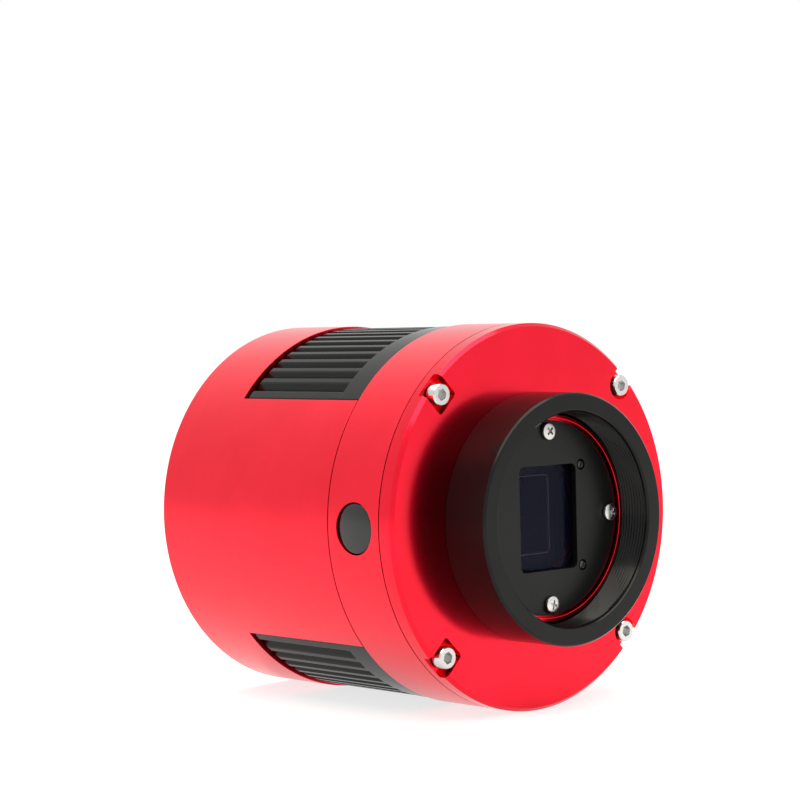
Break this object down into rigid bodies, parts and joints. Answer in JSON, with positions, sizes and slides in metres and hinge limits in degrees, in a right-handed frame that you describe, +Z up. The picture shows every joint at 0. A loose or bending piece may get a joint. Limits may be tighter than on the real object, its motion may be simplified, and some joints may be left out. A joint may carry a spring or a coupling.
{
  "type": "cooled astronomy camera",
  "caption": "Cylindrical cooled astronomy camera with a threaded adapter ring, recessed sensor window, screwed front plate, vented finned barrel, and rear fan and sockets.",
  "frame": {"origin": "centre of the adapter ring's front face, on the optical axis", "axes": "+Y along the optical axis from the ring towards the rear, +Z up, +X to the right as the front is seen"},
  "size_m": [0.078, 0.086, 0.078],
  "materials": {
    "red_anodised": "satin anodised",
    "black_anodised": "satin anodised",
    "steel_screws": "bright stainless",
    "socket_steel": "plated sheet steel",
    "rubber": "matt",
    "black_plastic": "moulded, matt",
    "plug_plastic": "smooth, glossy",
    "window": "coated, clear",
    "sensor_silicon": "polished silicon",
    "ceramic": "matt ceramic",
    "circuit_board": "solder mask",
    "copper": "bare copper",
    "foam": "closed-cell foam",
    "white_ceramic": "matt"
  },
  "bodies": {
    "camera_body": {"back_plate": "red_anodised", "back_screw_1": "steel_screws", "back_screw_2": "steel_screws", "back_screw_3": "steel_screws", "back_screw_4": "steel_screws", "base_seal": "rubber", "clamp_screw_1": "steel_screws", "clamp_screw_2": "steel_screws", "cold_finger": "copper", "cooler_lead": "copper", "cooler_module": "white_ceramic", "cover_screw_1": "steel_screws", "cover_screw_2": "steel_screws", "cover_screw_3": "steel_screws", "cover_screw_4": "steel_screws", "fan_bearing": "copper", "fan_frame": "black_plastic", "fan_guard": "black_plastic", "fan_lead": "black_plastic", "fan_screw_1": "steel_screws", "fan_screw_2": "steel_screws", "fan_screw_3": "steel_screws", "fan_screw_4": "steel_screws", "fan_stator": "copper", "front_plate": "red_anodised", "front_screw_1": "steel_screws", "front_screw_2": "steel_screws", "front_screw_3": "steel_screws", "front_screw_4": "steel_screws", "front_seal": "rubber", "heat_sink": "black_anodised", "insulation": "foam", "main_board": "circuit_board", "mid_housing": "red_anodised", "power_socket": "black_plastic", "rear_shell": "red_anodised", "sensor_board": "circuit_board", "sensor_cable": "copper", "sensor_die": "sensor_silicon", "sensor_lid": "window", "sensor_package": "ceramic", "sink_screw_1": "steel_screws", "sink_screw_2": "steel_screws", "sink_screw_3": "steel_screws", "sink_screw_4": "steel_screws", "usb_a_socket_1": "socket_steel", "usb_a_socket_2": "socket_steel", "usb_b_socket": "socket_steel", "window_cover": "black_anodised", "window_gasket": "rubber", "window_glass": "window"},
    "fan": {"fan_rotor": "black_plastic", "fan_shaft": "steel_screws"},
    "adapter": {"adapter_ring": "black_anodised"},
    "desiccant_holder": {"desiccant_plug": "plug_plastic", "plug_seal": "rubber", "desiccant_tablet": "white_ceramic"}
  },
  "joints": [
    {"name": "fan_spin", "type": "hinge", "parent": "camera_body", "child": "fan", "pos_m": [0, 0.0748, 0], "axis": [0, 1, 0], "continuous": true},
    {"name": "ring_unscrew", "type": "slide", "parent": "camera_body", "child": "adapter", "axis": [0, -1, 0], "range_m": [0, 0.008]},
    {"name": "plug_unscrew", "type": "slide", "parent": "camera_body", "child": "desiccant_holder", "axis": [-1, 0, 0], "range_m": [0, 0.012]}
  ]
}
